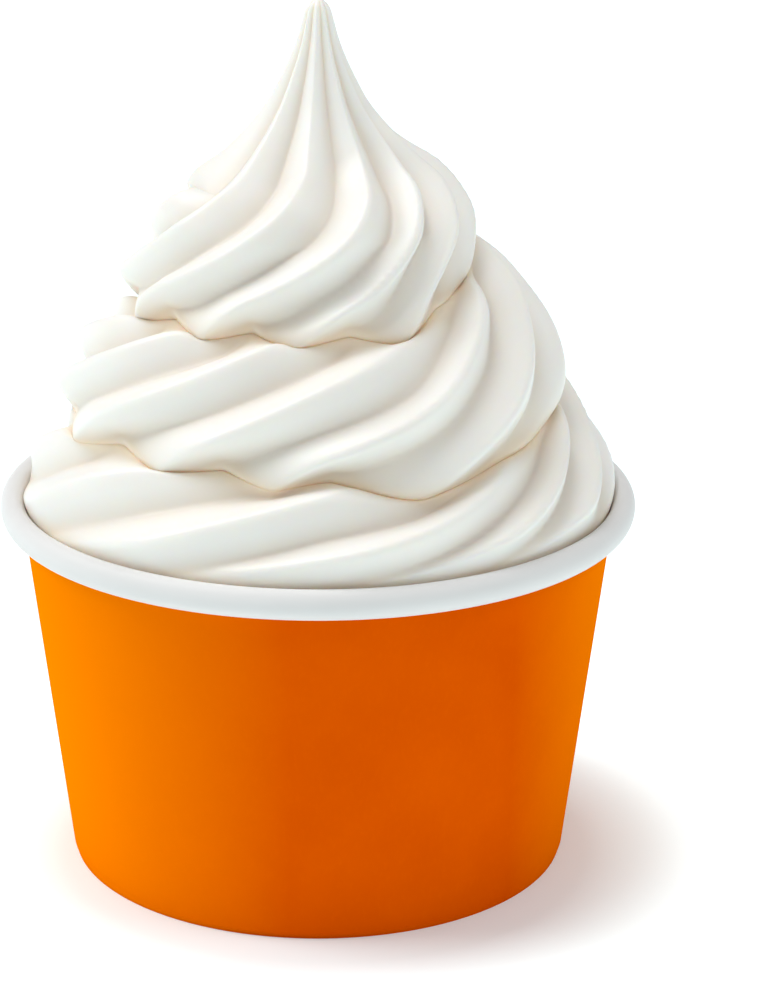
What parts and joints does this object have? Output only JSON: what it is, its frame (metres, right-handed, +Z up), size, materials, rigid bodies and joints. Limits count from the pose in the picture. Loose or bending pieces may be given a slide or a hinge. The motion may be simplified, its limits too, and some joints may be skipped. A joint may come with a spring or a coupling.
{
  "type": "frozen yogurt cup",
  "caption": "Round paper cup with a rolled rim, heaped with a tall swirl of ridged frozen yogurt that ends in a pointed peak.",
  "frame": {"origin": "centre of the cup's foot, on the surface it stands on", "axes": "+Z up along the cup's axis; -Y towards the viewer of the front; +X to the viewer's right"},
  "size_m": [0.095, 0.095, 0.1304],
  "materials": {
    "printed_paperboard": "semi-gloss printed paperboard",
    "plain_paperboard": "matt white paperboard",
    "frozen_yogurt": "soft satin, faintly translucent"
  },
  "bodies": {
    "root": {"cup_sidewall": "printed_paperboard", "cup_base": "plain_paperboard", "frozen_yogurt": "frozen_yogurt"}
  },
  "joints": []
}
